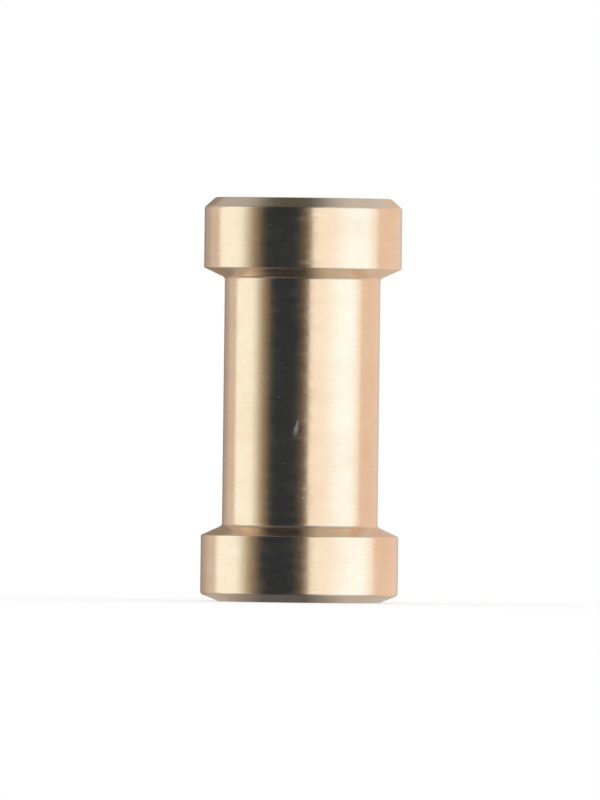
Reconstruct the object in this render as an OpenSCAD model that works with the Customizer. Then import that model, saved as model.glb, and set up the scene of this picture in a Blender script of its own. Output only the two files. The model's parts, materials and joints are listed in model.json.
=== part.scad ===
// Double-ended tripod thread adapter, turned from one bar of brass. Two collars slide into a 16 mm
// stand socket, the neck between them seats the socket's lock screw, and each end has a blind hole
// for a camera thread. It stands on its large-thread end at z = 0, with its axis on Z.

/* [Body] */
// Length of the adapter, from end face to end face
body_h = 32.7; // [31:0.1:60]
// Diameter of both collars
collar_d = 16; // [15.5:0.1:20]
// Diameter of the neck between the collars
neck_d = 12.6; // [12:0.1:14]
// Slope of the tapers that lead from the neck out to the collars, measured from level
taper_angle = 25; // [20:1:45]
// Radius of the hollow where each taper runs into the neck
root_radius = 0.3; // [0.2:0.1:1.2]
// Radius where each chamfer meets the collar's side
shoulder_radius = 0.3; // [0.05:0.05:0.5]
// Radius that breaks the collars' other sharp edges
edge_radius = 0.15; // [0.05:0.01:0.2]

/* [Bottom end, 3/8-16 thread] */
// Height of the bottom collar, from its end face to the edge where the taper starts
bottom_collar_h = 5.35; // [4:0.05:8]
// Height of the bottom chamfer
bottom_chamfer_h = 0.6; // [0.4:0.05:1.2]
// How far the bottom chamfer reaches in from the collar's side
bottom_chamfer_w = 1.5; // [0.4:0.05:1.7]
// Tap drill diameter of the bottom hole, which the thread is cut into
bottom_drill_d = 7.95; // [7.8:0.05:8.1]
// Outer diameter of the bottom thread
bottom_thread_d = 9.525; // [9.5:0.025:9.6]
// Depth of the bottom hole down to where its drill point starts
bottom_depth = 13; // [8:0.5:13.5]

/* [Top end, 1/4-20 thread] */
// Height of the top collar, from its end face to the edge where the taper starts
top_collar_h = 5.7; // [4:0.05:8]
// Height of the top chamfer
top_chamfer_h = 0.8; // [0.4:0.05:1.2]
// How far the top chamfer reaches in from the collar's side
top_chamfer_w = 0.9; // [0.4:0.05:1.4]
// Tap drill diameter of the top hole, which the thread is cut into
top_drill_d = 5.1; // [5:0.05:5.3]
// Outer diameter of the top thread
top_thread_d = 6.35; // [6.3:0.05:6.4]
// Depth of the top hole down to where its drill point starts
top_depth = 11; // [8:0.5:12]

/* [Holes] */
// Angle across the drill point that ends each hole
drill_point_angle = 118; // [90:1:140]
// How much wider than its thread each countersunk mouth is, across the diameter
mouth_clearance = 0.5; // [0.2:0.1:1]

/* [Hidden] */
$fn = 128;

collar_r = collar_d / 2;
neck_r = neck_d / 2;
taper_h = (collar_r - neck_r) * tan(taper_angle);
// How far the drilling tool starts outside the face that it cuts
over_cut = 1;
// Largest turn, in degrees, between neighbouring points on an arc of the turned outline
arc_turn = 10;

function unit(v) = v / norm(v);

// Points of the arc that rounds a corner between two outline points, tangent to both its edges
function rounded(before, corner, after, radius) =
    let (
        to_before = unit(before - corner),
        to_after = unit(after - corner),
        half_angle = acos(to_before * to_after) / 2,
        centre = corner + unit(to_before + to_after) * radius / sin(half_angle),
        start = corner + to_before * radius / tan(half_angle) - centre,
        turn = (180 - 2 * half_angle) * sign(cross(to_after, to_before)),
        steps = ceil(abs(turn) / arc_turn)
    )
    [for (i = [0:steps])
        let (a = turn * i / steps)
        centre + [start.x * cos(a) - start.y * sin(a), start.x * sin(a) + start.y * cos(a)]];

// Half outline of one end, from the axis at its end face to the hollow where its taper meets the neck
function end_outline(collar_h, chamfer_h, chamfer_w) =
    let (
        middle = [0, 0],
        face_edge = [collar_r - chamfer_w, 0],
        chamfer_edge = [collar_r, chamfer_h],
        taper_edge = [collar_r, collar_h],
        neck_root = [neck_r, collar_h + taper_h],
        neck_middle = [neck_r, body_h / 2]
    )
    concat(
        [middle],
        rounded(middle, face_edge, chamfer_edge, edge_radius),
        rounded(face_edge, chamfer_edge, taper_edge, shoulder_radius),
        rounded(chamfer_edge, taper_edge, neck_root, edge_radius),
        rounded(taper_edge, neck_root, neck_middle, root_radius)
    );

// The turned blank before drilling: the bottom end's outline, then the top end's, upside down
module blank() {
    bottom = end_outline(bottom_collar_h, bottom_chamfer_h, bottom_chamfer_w);
    top = end_outline(top_collar_h, top_chamfer_h, top_chamfer_w);
    rotate_extrude()
        polygon(concat(bottom, [for (i = [len(top) - 1:-1:0]) [top[i].x, body_h - top[i].y]]));
}

// Space that a tap drill and a countersink leave, with the hole's mouth at z = 0 and its point up
module drilled_hole(drill_d, thread_d, depth) {
    drill_r = drill_d / 2;
    mouth_r = (thread_d + mouth_clearance) / 2;
    point_h = drill_r / tan(drill_point_angle / 2);
    rotate_extrude()
        polygon([
            [0, -over_cut],
            [mouth_r + over_cut, -over_cut],
            [drill_r, mouth_r - drill_r],
            [drill_r, depth],
            [0, depth + point_h]
        ]);
}

module adapter_body() {
    color("burlywood")
        difference() {
            blank();
            drilled_hole(bottom_drill_d, bottom_thread_d, bottom_depth);
            translate([0, 0, body_h]) mirror([0, 0, 1])
                drilled_hole(top_drill_d, top_thread_d, top_depth);
        }
}

adapter_body();
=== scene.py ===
"""Looks of the tripod thread adapter: one turned brass piece with real threads, in a plain white studio."""
import json
import math

import bmesh
import bpy
from mathutils import Matrix, Vector

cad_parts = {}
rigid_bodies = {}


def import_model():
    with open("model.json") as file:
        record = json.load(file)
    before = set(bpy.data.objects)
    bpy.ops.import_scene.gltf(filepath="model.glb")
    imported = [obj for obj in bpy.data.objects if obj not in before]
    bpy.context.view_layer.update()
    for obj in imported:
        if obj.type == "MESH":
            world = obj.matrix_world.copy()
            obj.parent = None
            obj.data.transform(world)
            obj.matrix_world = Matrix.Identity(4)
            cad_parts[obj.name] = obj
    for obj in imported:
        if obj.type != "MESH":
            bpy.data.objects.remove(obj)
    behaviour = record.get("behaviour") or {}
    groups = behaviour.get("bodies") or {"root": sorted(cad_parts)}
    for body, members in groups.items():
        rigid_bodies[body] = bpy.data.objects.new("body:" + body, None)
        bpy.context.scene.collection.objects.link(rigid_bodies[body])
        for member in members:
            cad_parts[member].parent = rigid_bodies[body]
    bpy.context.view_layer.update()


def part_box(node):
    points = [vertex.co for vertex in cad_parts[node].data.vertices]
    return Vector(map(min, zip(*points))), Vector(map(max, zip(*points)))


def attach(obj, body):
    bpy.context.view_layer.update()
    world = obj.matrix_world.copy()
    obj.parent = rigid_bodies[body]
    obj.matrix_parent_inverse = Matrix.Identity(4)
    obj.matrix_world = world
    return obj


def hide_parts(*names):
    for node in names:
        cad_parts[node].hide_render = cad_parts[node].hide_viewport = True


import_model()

MM = 0.001

# Sizes of the turned outline in millimetres, as in the part's source
body_low, body_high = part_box("adapter_body")
BODY_H = (body_high[2] - body_low[2]) / MM
COLLAR_R = min(body_high[0] - body_low[0], body_high[1] - body_low[1]) / 2 / MM
NECK_R = 6.3
TAPER_ANGLE = math.radians(25)
ROOT_RADIUS = 0.3
SHOULDER_RADIUS = 0.3
EDGE_RADIUS = 0.15
BOTTOM = {"collar_h": 5.35, "chamfer_h": 0.6, "chamfer_w": 1.5, "drill_r": 3.975, "thread_r": 4.7625,
          "pitch": 1.5875, "depth": 13.0, "thread_depth": 11.2}
TOP = {"collar_h": 5.7, "chamfer_h": 0.8, "chamfer_w": 0.9, "drill_r": 2.55, "thread_r": 3.175,
       "pitch": 1.27, "depth": 11.0, "thread_depth": 9.4}
MOUTH_CLEARANCE = 0.25
DRILL_POINT_SLOPE = math.tan(math.radians(59))

# The 60 degree thread: half of the flat at its root in pitches, how much its radius changes on a flank
# for each millimetre of depth, and the pitches over which the tap's cut runs out
HALF_ROOT_FLAT = 1 / 16
FLANK_SLOPE = math.sqrt(3)
RUN_OUT_PITCHES = 2

# How finely the turned surfaces are divided
COLUMNS = 160
ARC_TURN = math.radians(9)
SUPPORT_GAP = 0.035
SUPPORTED_RUN = 8 * SUPPORT_GAP
FLANK_STEPS = 6
CREST_STEPS = 4
SHARP_ANGLE = math.radians(27)

# Nearest that an extra column comes to another and a thread's row to the mouth or the thread's end, and
# how far off the neck's surface a point may be and still lie on it
COLUMN_GAP = math.radians(0.12)
ROW_GAP = 0.012
TOUCH = 0.001

# A small nick in the front of the neck: its place, its reach, its depth, its lean and how it narrows
NICK_ANGLE = math.radians(267)
NICK_Z = 14.1
NICK_HALF_WIDTH = 0.16
NICK_HALF_LENGTH = 0.5
NICK_DEPTH = 0.014
NICK_LEAN = 0.2
NICK_NARROWING = 0.3
# Extra rings and columns round the nick, in half lengths and half widths from its middle
NICK_RINGS = (-2.4, -1.8, -1.35, -1.0, -0.7, -0.45, -0.2, 0, 0.2, 0.45, 0.7, 1.0, 1.35, 1.8, 2.4)
NICK_COLUMNS = (-3, -2.2, -1.6, -1.1, -0.7, -0.35, 0, 0.35, 0.7, 1.1, 1.6, 2.2, 3)


# Turned outline

def rounded(before, corner, after, radius):
    """Points of the arc that rounds a corner between two outline points."""
    to_before = (before - corner).normalized()
    to_after = (after - corner).normalized()
    half = math.acos(to_before.dot(to_after)) / 2
    middle = corner + (to_before + to_after).normalized() * radius / math.sin(half)
    first = corner + to_before * radius / math.tan(half) - middle
    side = to_after.x * to_before.y - to_after.y * to_before.x
    turn = math.copysign(math.pi - 2 * half, side)
    steps = math.ceil(abs(turn) / ARC_TURN)
    return [middle + Matrix.Rotation(turn * i / steps, 2) @ first for i in range(steps + 1)]


def end_outline(end):
    """Outline of one end, from the mouth of its hole to the hollow at the root of its taper."""
    taper_h = (COLLAR_R - NECK_R) * math.tan(TAPER_ANGLE)
    mouth = Vector((end["thread_r"] + MOUTH_CLEARANCE, 0))
    face_edge = Vector((COLLAR_R - end["chamfer_w"], 0))
    chamfer_edge = Vector((COLLAR_R, end["chamfer_h"]))
    taper_edge = Vector((COLLAR_R, end["collar_h"]))
    neck_root = Vector((NECK_R, end["collar_h"] + taper_h))
    neck_middle = Vector((NECK_R, BODY_H / 2))
    return [mouth,
            *rounded(mouth, face_edge, chamfer_edge, EDGE_RADIUS),
            *rounded(face_edge, chamfer_edge, taper_edge, SHOULDER_RADIUS),
            *rounded(chamfer_edge, taper_edge, neck_root, EDGE_RADIUS),
            *rounded(taper_edge, neck_root, neck_middle, ROOT_RADIUS)]


def supported(outline):
    """The outline with extra points close to the ends of its long straight runs, so that they shade flat."""
    result = [outline[0]]
    for start, stop in zip(outline, outline[1:]):
        run = stop - start
        if run.length > SUPPORTED_RUN:
            result.append(start + run.normalized() * SUPPORT_GAP)
            result.append(stop - run.normalized() * SUPPORT_GAP)
        result.append(stop)
    return result


def on_neck(point):
    return abs(point.x - NECK_R) < TOUCH


def outer_outline():
    """Whole outside from the bottom mouth to the top mouth, with rings where the nick needs them."""
    top = [Vector((p.x, BODY_H - p.y)) for p in reversed(end_outline(TOP))]
    outline = supported(end_outline(BOTTOM) + top)
    for step in NICK_RINGS:
        height = NICK_Z + step * NICK_HALF_LENGTH
        place = next(i for i, p in enumerate(outline) if on_neck(p) and p.y > height)
        outline.insert(place, Vector((NECK_R, height)))
    return outline


def nick(angle, height):
    """How far the nick pushes the neck's surface in, in millimetres."""
    along = (height - NICK_Z) / NICK_HALF_LENGTH
    half_width = NICK_HALF_WIDTH * (1 - NICK_NARROWING * max(-1, min(1, along)))
    across = ((angle - NICK_ANGLE) * NECK_R - NICK_LEAN * (height - NICK_Z)) / half_width
    return NICK_DEPTH * math.exp(-across ** 2 - along ** 2)


def column_angles():
    """Angles of the mesh's columns, closer together round the nick."""
    angles = [math.tau * i / COLUMNS for i in range(COLUMNS)]
    for step in NICK_COLUMNS:
        angle = NICK_ANGLE + step * NICK_HALF_WIDTH / NECK_R
        if min(abs(angle - other) for other in angles) > COLUMN_GAP:
            angles.append(angle)
    return sorted(angles)


# Threaded holes

def thread_rows(end):
    """Places in a pitch at which the thread's profile gets a row, each with its radius."""
    slope = FLANK_SLOPE * end["pitch"]
    crest_start = HALF_ROOT_FLAT + (end["thread_r"] - end["drill_r"]) / slope
    flank = [HALF_ROOT_FLAT + (crest_start - HALF_ROOT_FLAT) * i / FLANK_STEPS for i in range(1, FLANK_STEPS)]
    crest = [crest_start + (1 - 2 * crest_start) * i / CREST_STEPS for i in range(CREST_STEPS + 1)]
    other_flank = [1 - place for place in reversed(flank)]
    places = [0, HALF_ROOT_FLAT, *flank, *crest, *other_flank, 1 - HALF_ROOT_FLAT]
    rows = []
    for place in places:
        away = min(place, 1 - place)
        rows.append((place, end["thread_r"] - max(0, away - HALF_ROOT_FLAT) * slope))
    return rows


def hole_radius(end, row_radius, depth):
    """Radius of the hole on a thread row: countersunk mouth, cut thread, or the tap's run-out."""
    cone = end["thread_r"] + MOUTH_CLEARANCE - depth
    left = (end["thread_depth"] - depth) / (RUN_OUT_PITCHES * end["pitch"])
    run_out = end["drill_r"] + (end["thread_r"] - end["drill_r"]) * min(1, left)
    return max(cone, min(row_radius, run_out), end["drill_r"])


class Turning:
    """Collects the vertices and faces of the turned piece."""

    def __init__(self):
        self.angles = column_angles()
        self.points = []
        self.ids = {}
        self.faces = []

    def vertex(self, key, radius, height, column):
        """Number of the vertex with this key, made if it is new."""
        if key not in self.ids:
            angle = self.angles[column]
            self.ids[key] = len(self.points)
            self.points.append(Vector((radius * math.cos(angle), radius * math.sin(angle), height)) * MM)
        return self.ids[key]

    def ring(self, name, radius, height, dented=False):
        """One level ring of vertices."""
        result = []
        for column, angle in enumerate(self.angles):
            depth = nick(angle, height) if dented else 0
            result.append(self.vertex((name, column), radius - depth, height, column))
        return result + [result[0]]

    def bridge(self, first, second):
        """Faces between two rows of vertices. Corners that meet are taken once."""
        for a, b, c, d in zip(first, first[1:], second[1:], second):
            corners = []
            for corner in (a, b, c, d):
                if corner not in corners:
                    corners.append(corner)
            if len(corners) > 2:
                self.faces.append(corners)

    def outside(self):
        """The outside of the piece, from mouth to mouth."""
        outline = outer_outline()
        names = ["bottom mouth", *range(1, len(outline) - 1), "top mouth"]
        rings = [self.ring(name, p.x, p.y, on_neck(p)) for name, p in zip(names, outline)]
        for first, second in zip(rings, rings[1:]):
            self.bridge(first, second)

    def hole(self, name, end, upward):
        """A tapped hole. upward is 1 for the bottom hole, which runs up from z = 0, and -1 for the top."""
        base = 0 if upward == 1 else BODY_H
        # The bottom thread starts a turn outside its mouth, because its depth grows with the angle
        turns_outside = 1 if upward == 1 else 0
        places = thread_rows(end)
        count = len(places)
        pitches = math.ceil(end["thread_depth"] / end["pitch"]) + 1
        last = pitches * count
        mouth = self.ring(name + " mouth", end["thread_r"] + MOUTH_CLEARANCE, base)
        stop = self.ring(name + " stop", end["drill_r"], base + upward * end["thread_depth"])

        def thread_vertex(column, row):
            """Vertex of a row that climbs one pitch a turn, held between the mouth and the thread's end."""
            if column == len(self.angles):
                return thread_vertex(0, row + upward * count)
            if row < 0:
                return mouth[column]
            if row > last:
                return stop[column]
            place, row_radius = places[row % count]
            turns = row // count + place - turns_outside
            depth = end["pitch"] * (turns + upward * self.angles[column] / math.tau)
            if depth < ROW_GAP:
                return mouth[column]
            if depth > end["thread_depth"] - ROW_GAP:
                return stop[column]
            radius = hole_radius(end, row_radius, depth)
            return self.vertex((name, row, column), radius, base + upward * depth, column)

        columns = range(len(self.angles) + 1)
        rows = [[thread_vertex(column, row) for column in columns] for row in range(last + 1)]
        rows = [mouth, *rows, stop]
        for first, second in zip(rows, rows[1:]):
            self.bridge(first, second)
        wall_end = self.ring(name + " wall", end["drill_r"], base + upward * end["depth"])
        self.bridge(stop, wall_end)
        point_h = end["drill_r"] / DRILL_POINT_SLOPE
        tip = self.vertex((name, "tip"), 0, base + upward * (end["depth"] + point_h), 0)
        self.bridge(wall_end, [tip] * len(wall_end))


def new_object(name, data):
    obj = bpy.data.objects.new(name, data)
    bpy.context.collection.objects.link(obj)
    return obj


def turned_body():
    """The whole adapter as one closed mesh."""
    turning = Turning()
    turning.outside()
    turning.hole("bottom", BOTTOM, 1)
    turning.hole("top", TOP, -1)
    mesh = bpy.data.meshes.new("turned_body")
    mesh.from_pydata(turning.points, [], turning.faces)
    work = bmesh.new()
    work.from_mesh(mesh)
    bmesh.ops.recalc_face_normals(work, faces=work.faces)
    loose = [e for e in work.edges if len(e.link_faces) != 2]
    print("turned_body: open edges", len(loose), "volume", round(work.calc_volume() / MM ** 3, 1),
          "triangles", sum(len(f.verts) - 2 for f in work.faces))
    work.to_mesh(mesh)
    work.free()
    mesh.shade_smooth()
    mesh.set_sharp_from_angle(angle=SHARP_ANGLE)
    # How much the nick bares the metal at each point, from 0 to 1, which the material reads
    bared = mesh.attributes.new("bared", "FLOAT", "POINT")
    for vertex, entry in zip(mesh.vertices, bared.data):
        x, y, height = vertex.co / MM
        if abs(math.hypot(x, y) - NECK_R) < 2 * NICK_DEPTH:
            entry.value = nick(math.atan2(y, x) % math.tau, height) / NICK_DEPTH
    return new_object("turned_body", mesh)


# Materials

WHITE = (1, 1, 1, 1)
# Brass tones: its own two, and those towards which fine marks, painted shade in the holes and the nick take
# it
DEEP_BRASS = (0.88, 0.625, 0.415, 1)
PALE_BRASS = (0.92, 0.69, 0.475, 1)
MARKED_BRASS = (0.72, 0.47, 0.28, 1)
HOLE_SHADE_BRASS = (0.62, 0.42, 0.22, 1)
BARED_METAL = (0.66, 0.62, 0.64, 1)
MARKED_SHARE = 0.14
HOLE_SHADE_SHARE = 0.45
BARED_SHARE = 0.75

# Marks that run round the axis: their spacing in millimetres, how much they change on the way round,
# and the noise's detail
FEED_MARKS = (0.42, 2.6, 1.0)
FINE_MARKS = (0.085, 5.0, 1.0)
TONE_BANDS = (1.7, 0.9, 1.0)
SCUFFS = (0.15, 6.5, 1.5)
# Marks that run no special way: the noise's scale for each millimetre, its detail and its roughness
CLOUDS = (0.32, 3.0, 0.6)
GRAIN = (9.0, 2.0, 0.6)
HANDLING = (0.75, 2.0, 0.55)

# Levels of the noise over which each kind of mark sets in
TONE_LEVELS = (0.35, 0.65)
FINE_LEVELS = (0.3, 0.72)
TURNED_LEVELS = (0.3, 0.7)
SCUFF_LEVELS = (0.62, 0.8)
HANDLED_LEVELS = (0.5, 0.75)
# Weight of the first noise where two are mixed
FIRST_WEIGHT = 0.6

# Roughness of the smoothest and the roughest turned metal, and what wear and the cuts add to it
SATIN = (0.14, 0.23)
SCUFF_ROUGHNESS = 0.09
HANDLED_ROUGHNESS = 0.05
HOLE_ROUGHNESS = 0.12
BARED_ROUGHNESS = 0.33

# Heights of the marks in millimetres
FEED_HEIGHT = 0.0045
FINE_HEIGHT = 0.0011
GRAIN_HEIGHT = 0.0009
HANDLED_HEIGHT = 0.007

# Share of the radius in the run along the outline: not 1, so that a 45 degree slope has marks too
RADIUS_SHARE = 0.93
# Where a surface counts as inside a hole, in millimetres: its radius and its depth below the end face
HOLE_RADII = (5.0, 4.7)
HOLE_DEPTHS = (0.02, 0.2)

# How much of the floor's look is plain white to the camera, so that its shadows are half as strong
FLOOR_WHITE_SHARE = 0.5


class Nodes:
    """Short way to add and link shader nodes."""

    def __init__(self, tree):
        self.tree = tree
        tree.nodes.clear()

    def add(self, kind, settings=None, **inputs):
        """A new node. Inputs are named, with _ for a space, or numbered, as i0, and may be other sockets."""
        node = self.tree.nodes.new(kind)
        for name, value in (settings or {}).items():
            setattr(node, name, value)
        for name, value in inputs.items():
            place = int(name[1:]) if name[0] == "i" and name[1:].isdigit() else name.replace("_", " ")
            socket = node.inputs[place]
            if isinstance(value, bpy.types.NodeSocket):
                self.tree.links.new(value, socket)
            else:
                socket.default_value = value
        return node

    def maths(self, operation, *values):
        inputs = {f"i{i}": value for i, value in enumerate(values)}
        return self.add("ShaderNodeMath", {"operation": operation}, **inputs).outputs[0]

    def vector_maths(self, operation, *vectors, **inputs):
        inputs.update({f"i{i}": vector for i, vector in enumerate(vectors)})
        return self.add("ShaderNodeVectorMath", {"operation": operation}, **inputs)

    def total(self, *parts):
        """Sum of values, each times its weight."""
        weighted = [self.maths("MULTIPLY", value, weight) for value, weight in parts]
        result = weighted[0]
        for value in weighted[1:]:
            result = self.maths("ADD", result, value)
        return result

    def ramp(self, value, low, high, to_low=0.0, to_high=1.0):
        """The value carried over from one range to another, and held within it."""
        return self.add("ShaderNodeMapRange", {"clamp": True}, Value=value, From_Min=low, From_Max=high,
                        To_Min=to_low, To_Max=to_high).outputs[0]

    def mix(self, factor, first, second):
        """The first colour at factor 0, and the second at factor 1."""
        node = self.add("ShaderNodeMix", {"data_type": "RGBA"}, i0=factor, i6=first, i7=second)
        return node.outputs[2]

    def noise(self, vector, scale, detail, roughness=0.5):
        return self.add("ShaderNodeTexNoise", Vector=vector, Scale=scale, Detail=detail,
                        Roughness=roughness).outputs["Fac"]

    def place(self):
        """Place on the object in millimetres."""
        metres = self.add("ShaderNodeTexCoord").outputs["Object"]
        return self.vector_maths("SCALE", metres, Scale=1 / MM).outputs[0]

    def parts(self, vector):
        return self.add("ShaderNodeSeparateXYZ", i0=vector).outputs


def new_material(name):
    """A material and the helper that fills its nodes."""
    material = bpy.data.materials.new(name)
    material.use_nodes = True
    return material, Nodes(material.node_tree)


def glowing(material, n, colour):
    """Makes the material give off its colour, without being sampled as a lamp."""
    shader = n.add("ShaderNodeEmission", Color=colour, Strength=1.0)
    n.add("ShaderNodeOutputMaterial", Surface=shader.outputs[0])
    material.cycles.emission_sampling = "NONE"


def brass():
    """Fine turned satin brass: turning marks, a little tone, and rougher holes darkened by painted shade."""
    material, n = new_material("turned_brass")
    place = n.place()
    x, y, z = n.parts(place)
    across = n.add("ShaderNodeCombineXYZ", i0=x, i1=y).outputs[0]
    radius = n.vector_maths("LENGTH", across).outputs["Value"]
    round_about = n.vector_maths("NORMALIZE", across).outputs[0]
    # Runs along the outline, up the sides and out across the faces
    run = n.maths("ADD", z, n.maths("MULTIPLY", radius, RADIUS_SHARE))

    def ring_noise(spacing, drift, detail):
        """Noise drawn out round the axis."""
        drawn = n.vector_maths("SCALE", round_about, Scale=drift).outputs[0]
        lifted = n.add("ShaderNodeCombineXYZ", i2=n.maths("MULTIPLY", run, 1 / spacing)).outputs[0]
        return n.noise(n.vector_maths("ADD", drawn, lifted).outputs[0], 1.0, detail)

    feed_marks = ring_noise(*FEED_MARKS)
    fine_marks = ring_noise(*FINE_MARKS)
    tone_bands = ring_noise(*TONE_BANDS)
    scuffs = n.ramp(ring_noise(*SCUFFS), *SCUFF_LEVELS)
    clouds = n.noise(place, *CLOUDS)
    grain = n.noise(place, *GRAIN)
    handled = n.noise(place, *HANDLING)
    soft_tone = n.total((clouds, FIRST_WEIGHT), (tone_bands, 1 - FIRST_WEIGHT))
    turned = n.total((feed_marks, FIRST_WEIGHT), (grain, 1 - FIRST_WEIGHT))
    from_end = n.maths("MINIMUM", z, n.maths("SUBTRACT", BODY_H, z))
    in_hole = n.maths("MULTIPLY", n.ramp(radius, *HOLE_RADII), n.ramp(from_end, *HOLE_DEPTHS))
    bared = n.add("ShaderNodeAttribute", {"attribute_name": "bared"}).outputs["Fac"]

    colour = n.mix(n.ramp(soft_tone, *TONE_LEVELS), DEEP_BRASS, PALE_BRASS)
    colour = n.mix(n.ramp(fine_marks, *FINE_LEVELS, 0.0, MARKED_SHARE), colour, MARKED_BRASS)
    # Painted shade: the brass inside the holes is darkened towards a deeper tone
    colour = n.mix(n.maths("MULTIPLY", in_hole, HOLE_SHADE_SHARE), colour, HOLE_SHADE_BRASS)
    colour = n.mix(n.maths("MULTIPLY", bared, BARED_SHARE), colour, BARED_METAL)
    roughness = n.total((n.ramp(turned, *TURNED_LEVELS, *SATIN), 1.0), (scuffs, SCUFF_ROUGHNESS),
                        (n.ramp(handled, *HANDLED_LEVELS), HANDLED_ROUGHNESS),
                        (in_hole, HOLE_ROUGHNESS), (bared, BARED_ROUGHNESS))
    height = n.total((feed_marks, FEED_HEIGHT), (fine_marks, FINE_HEIGHT), (grain, GRAIN_HEIGHT),
                     (handled, HANDLED_HEIGHT))
    bump = n.add("ShaderNodeBump", Strength=1.0, Distance=MM, Height=height)
    shader = n.add("ShaderNodeBsdfPrincipled", Base_Color=colour, Metallic=1.0, Roughness=roughness,
                   Normal=bump.outputs[0])
    n.add("ShaderNodeOutputMaterial", Surface=shader.outputs[0])
    return material


def plain_floor():
    """Matt white floor. The camera sees its shadows at half their strength, as in bright studio light."""
    material, n = new_material("floor_white")
    matt = n.add("ShaderNodeBsdfDiffuse", Color=WHITE)
    white = n.add("ShaderNodeEmission", Color=WHITE, Strength=1.0)
    path = n.add("ShaderNodeLightPath")
    seen = n.maths("MAXIMUM", path.outputs["Is Camera Ray"], path.outputs["Is Glossy Ray"])
    seen = n.maths("MAXIMUM", seen, path.outputs["Is Transmission Ray"])
    share = n.maths("MULTIPLY", seen, FLOOR_WHITE_SHARE)
    shader = n.add("ShaderNodeMixShader", i0=share, i1=matt.outputs[0], i2=white.outputs[0])
    n.add("ShaderNodeOutputMaterial", Surface=shader.outputs[0])
    material.cycles.emission_sampling = "NONE"
    return material


# Studio

# The shell of panels and the floor, in metres
DOME_RADIUS = 0.5
DOME_COLUMNS = 360
DOME_ROWS = 120
FLOOR_REACH = 3.0

# Panels round the object, as bearings from the camera (0) to the right (90), in degrees: the bearings
# where a panel starts and ends, how soft those edges are, and its light. Dark cloths hang before them.
ROOM_LIGHT = (0.62, 0.60, 0.60)
PANELS = [
    ((98, 168), (8, 8), (0.88, 0.78, 0.74)),
    ((-168, -136), (8, 16), (0.48, 0.44, 0.43)),
    ((-136, -114), (18, 3), (0.68, 0.66, 0.66)),
    ((-114, -30), (3, 2), (1.10, 1.29, 1.40)),
    ((5, 97), (2, 5), (1.09, 1.17, 1.26)),
    ((45, 86), (34, 14), (1.12, 1.46, 1.80)),
]
CLOTHS = [
    ((-69, 10), (24, 2), (0.38, 0.335, 0.27)),
    ((-53, 10), (22, 2), (0.028, 0.042, 0.062)),
    ((0, 10), (18, 2), (0.165, 0.135, 0.095)),
]

# The rear wall: its light on each side, the bearings over which right passes into left there, and those
# over which the wall begins
REAR_LEFT = (0.30, 0.25, 0.20)
REAR_RIGHT = (0.68, 0.56, 0.48)
REAR_MIDDLE = (173, 187)
REAR_START = (148, 168)

# Rise over which the panels give way to the light above and below: in front, beside and behind, and the
# bearings over which the one passes into the next
RISE_FRONT = (30, 44)
RISE_BESIDE = (20, 34)
RISE_BEHIND = (28, 38)
BESIDE_START = (95, 135)
BEHIND_START = (150, 165)

# Light from well above and below the level, and off the dark cloths that hang there. The middle light
# comes from the front, the overhead light from beyond a rise and from behind.
MIDDLE_LEFT = (0.48, 0.56, 0.64)
MIDDLE_RIGHT = (0.61, 0.82, 1.06)
MIDDLE_DARK = (0.032, 0.055, 0.11)
OVERHEAD_LEFT = (0.49, 0.54, 0.60)
OVERHEAD_RIGHT = (0.62, 0.70, 0.79)
OVERHEAD_DARK = (0.10, 0.12, 0.125)
# Rise, and backward part of the direction, over which the middle light passes into the overhead light
OVERHEAD_RISE = (50, 62)
OVERHEAD_BACK = (0.1, 0.25)
# Share of the dark tone that the left takes on below the level
LEFT_BELOW_SHARE = 0.18
# Sideways part of the direction, from -1 to 1, over which left passes into right
LEFT_TO_RIGHT = (-0.15, 0.15)

# Bearings over which the cloth at middle height starts and stops, above and below the level
MIDDLE_CLOTH_ABOVE = ((-110, -58), (-6, 42))
MIDDLE_CLOTH_BELOW = ((-128, -72), (-1, 49))
# Overhead the cloth's soft edges are parts of the direction instead, from -1 to 1: its left edge in front
# and at the back, its right edge, its rear edge, and where front passes into back
CLOTH_LEFT_FRONT = (-0.78, -0.42)
CLOTH_LEFT_BACK = (-0.53, -0.24)
CLOTH_RIGHT = (0.02, 0.42)
CLOTH_REAR = (0.28, 0.45)
FRONT_TO_BACK = (-0.1, 0.1)

# Painted shadow of the floor under the object, on a glowing disc that only the metal's reflections see:
# its tones, and the sideways and backward places in millimetres, from its middle, over which they pass
# into each other
FOOT_RADIUS = 7.95
FOOT_CORNERS = 96
FOOT_DROP = 0.02
FOOT_LEFT = (0.49, 0.46, 0.45, 1)
FOOT_RIGHT = (0.55, 0.56, 0.57, 1)
# The darkest painted contact shadow in the middle, and the painted shadow behind the object
FOOT_DARK = (0.125, 0.14, 0.165, 1)
FOOT_BACK = (0.17, 0.17, 0.17, 1)
FOOT_LEFT_TO_RIGHT = (-1.0, 1.0)
FOOT_DARK_LEFT = (-6.2, -3.0)
FOOT_DARK_RIGHT = (4.0, 0.5)
FOOT_BACK_START = (1.0, 4.0)


def smooth(value, low, high):
    """Soft step from 0 at low to 1 at high."""
    part = min(1, max(0, (value - low) / (high - low)))
    return part * part * (3 - 2 * part)


def between(value, start, stop):
    """1 between two soft edges, each given as where it begins and ends, and 0 outside them."""
    return smooth(value, *start) * (1 - smooth(value, *stop))


def blend(first, second, part):
    """The first tuple at part 0, the second at part 1, and a mix of them between."""
    return tuple(a + (b - a) * part for a, b in zip(first, second))


def with_panels(light, panels, bearing):
    """The light with a list of panels set before it."""
    for (start, stop), (soft_start, soft_stop), colour in panels:
        start_edge = (start - soft_start / 2, start + soft_start / 2)
        stop_edge = (stop - soft_stop / 2, stop + soft_stop / 2)
        light = blend(light, colour, between(bearing, start_edge, stop_edge))
    return light


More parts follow.
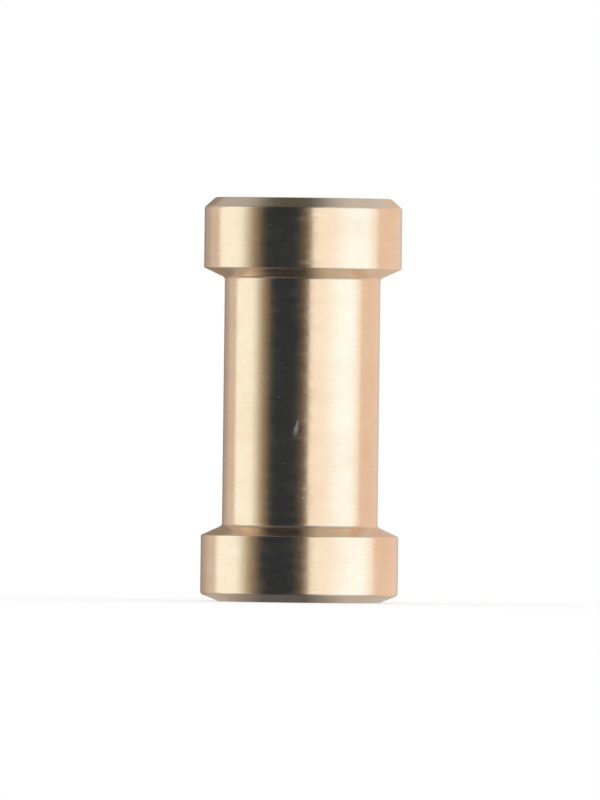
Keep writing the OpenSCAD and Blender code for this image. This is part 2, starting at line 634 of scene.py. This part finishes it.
def middle_light(direction, bearing):
    """Light from middle height, above or below the level."""
    left = MIDDLE_LEFT
    cloth = MIDDLE_CLOTH_ABOVE
    if direction.z < 0:
        left = blend(MIDDLE_LEFT, MIDDLE_DARK, LEFT_BELOW_SHARE)
        cloth = MIDDLE_CLOTH_BELOW
    light = blend(left, MIDDLE_RIGHT, smooth(direction.x, *LEFT_TO_RIGHT))
    return blend(light, MIDDLE_DARK, between(bearing, *cloth))


def overhead_light(direction):
    """Light from high above, or far below."""
    light = blend(OVERHEAD_LEFT, OVERHEAD_RIGHT, smooth(direction.x, *LEFT_TO_RIGHT))
    left_edge = blend(CLOTH_LEFT_FRONT, CLOTH_LEFT_BACK, smooth(direction.y, *FRONT_TO_BACK))
    dark = between(direction.x, left_edge, CLOTH_RIGHT) * (1 - smooth(direction.y, *CLOTH_REAR))
    return blend(light, OVERHEAD_DARK, dark)


def studio_light(direction):
    """Light from a direction: the panels, cloths and rear wall round about, and what is above and below."""
    bearing = math.degrees(math.atan2(direction.x, -direction.y))
    turned_away = abs(bearing)
    rise = abs(math.degrees(math.asin(max(-1, min(1, direction.z)))))
    rear = blend(REAR_RIGHT, REAR_LEFT, smooth(bearing % 360, *REAR_MIDDLE))
    level = with_panels(ROOM_LIGHT, PANELS, bearing)
    level = blend(level, rear, smooth(turned_away, *REAR_START))
    level = with_panels(level, CLOTHS, bearing)
    overhead_share = max(smooth(rise, *OVERHEAD_RISE), smooth(direction.y, *OVERHEAD_BACK))
    high = blend(middle_light(direction, bearing), overhead_light(direction), overhead_share)
    high_start = blend(RISE_FRONT, RISE_BESIDE, smooth(turned_away, *BESIDE_START))
    high_start = blend(high_start, RISE_BEHIND, smooth(turned_away, *BEHIND_START))
    return blend(level, high, smooth(rise, *high_start))


def reflected_object(name, work, material):
    """An object made from a bmesh, which only the metal's reflections see."""
    mesh = bpy.data.meshes.new(name)
    work.to_mesh(mesh)
    work.free()
    mesh.materials.append(material)
    obj = new_object(name, mesh)
    obj.visible_camera = False
    obj.visible_diffuse = False
    obj.visible_transmission = False
    obj.visible_volume_scatter = False
    obj.visible_shadow = False
    return obj


def reflection_dome():
    """Shell of light and dark panels round the object."""
    material, n = new_material("studio_panels")
    glowing(material, n, n.add("ShaderNodeAttribute", {"attribute_name": "light"}).outputs["Color"])
    work = bmesh.new()
    bmesh.ops.create_uvsphere(work, u_segments=DOME_COLUMNS, v_segments=DOME_ROWS, radius=DOME_RADIUS)
    dome = reflected_object("studio_panels", work, material)
    dome.location.z = BODY_H / 2 * MM
    light = dome.data.color_attributes.new("light", "FLOAT_COLOR", "POINT")
    for vertex, entry in zip(dome.data.vertices, light.data):
        entry.color = (*studio_light(vertex.co.normalized()), 1)


def foot_shade():
    """Glowing disc just under the object, painted with the tones of the shaded floor there: a painted shadow.
    """
    material, n = new_material("foot_shade")
    x, y = n.parts(n.place())[:2]
    colour = n.mix(n.ramp(x, *FOOT_LEFT_TO_RIGHT), FOOT_LEFT, FOOT_RIGHT)
    dark = n.maths("MULTIPLY", n.ramp(x, *FOOT_DARK_LEFT), n.ramp(x, *FOOT_DARK_RIGHT))
    colour = n.mix(dark, colour, FOOT_DARK)
    colour = n.mix(n.ramp(y, *FOOT_BACK_START), colour, FOOT_BACK)
    glowing(material, n, colour)
    work = bmesh.new()
    bmesh.ops.create_circle(work, cap_ends=True, segments=FOOT_CORNERS, radius=FOOT_RADIUS * MM)
    shade = reflected_object("foot_shade", work, material)
    shade.location.z = -FOOT_DROP * MM


def floor():
    """The floor that the object stands on. In the metal's reflections the disc and the dome stand for it."""
    mesh = bpy.data.meshes.new("floor")
    corners = [(-FLOOR_REACH, -FLOOR_REACH, 0), (FLOOR_REACH, -FLOOR_REACH, 0),
               (FLOOR_REACH, FLOOR_REACH, 0), (-FLOOR_REACH, FLOOR_REACH, 0)]
    mesh.from_pydata(corners, [], [(0, 1, 2, 3)])
    mesh.materials.append(plain_floor())
    obj = new_object("floor", mesh)
    obj.visible_glossy = False


def white_world():
    """Even white light from all round, which is also the background."""
    world = bpy.data.worlds.new("white_world")
    bpy.context.scene.world = world
    world.use_nodes = True
    n = Nodes(world.node_tree)
    background = n.add("ShaderNodeBackground", Color=WHITE, Strength=1.0)
    n.add("ShaderNodeOutputWorld", Surface=background.outputs[0])
    world.cycles.sampling_method = "NONE"


# Camera, level with the middle of the object as in the photograph. Lengths are in metres, and the
# sensor's size in millimetres.
CAMERA_DISTANCE = 2.0
FRAME_HEIGHT = 0.06475
CAMERA_SIDE = -0.0001
CAMERA_LIFT = 0.00001
CAMERA_ROLL = math.radians(-0.7)
SENSOR_SIZE = 36
NEAREST_SEEN = 0.01
FARTHEST_SEEN = 50


def camera():
    data = bpy.data.cameras.new("camera")
    data.sensor_width = SENSOR_SIZE
    data.lens = data.sensor_width / 2 / (FRAME_HEIGHT / 2 / CAMERA_DISTANCE)
    data.clip_start = NEAREST_SEEN
    data.clip_end = FARTHEST_SEEN
    obj = new_object("camera", data)
    obj.location = (CAMERA_SIDE, -CAMERA_DISTANCE, BODY_H / 2 * MM + CAMERA_LIFT)
    obj.rotation_euler = (math.radians(90), CAMERA_ROLL, 0)
    bpy.context.scene.camera = obj


camera()
body = turned_body()
body.data.materials.append(brass())
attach(body, "root")
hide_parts("adapter_body")
floor()
reflection_dome()
foot_shade()
white_world()
bpy.context.scene.view_settings.view_transform = "Standard"
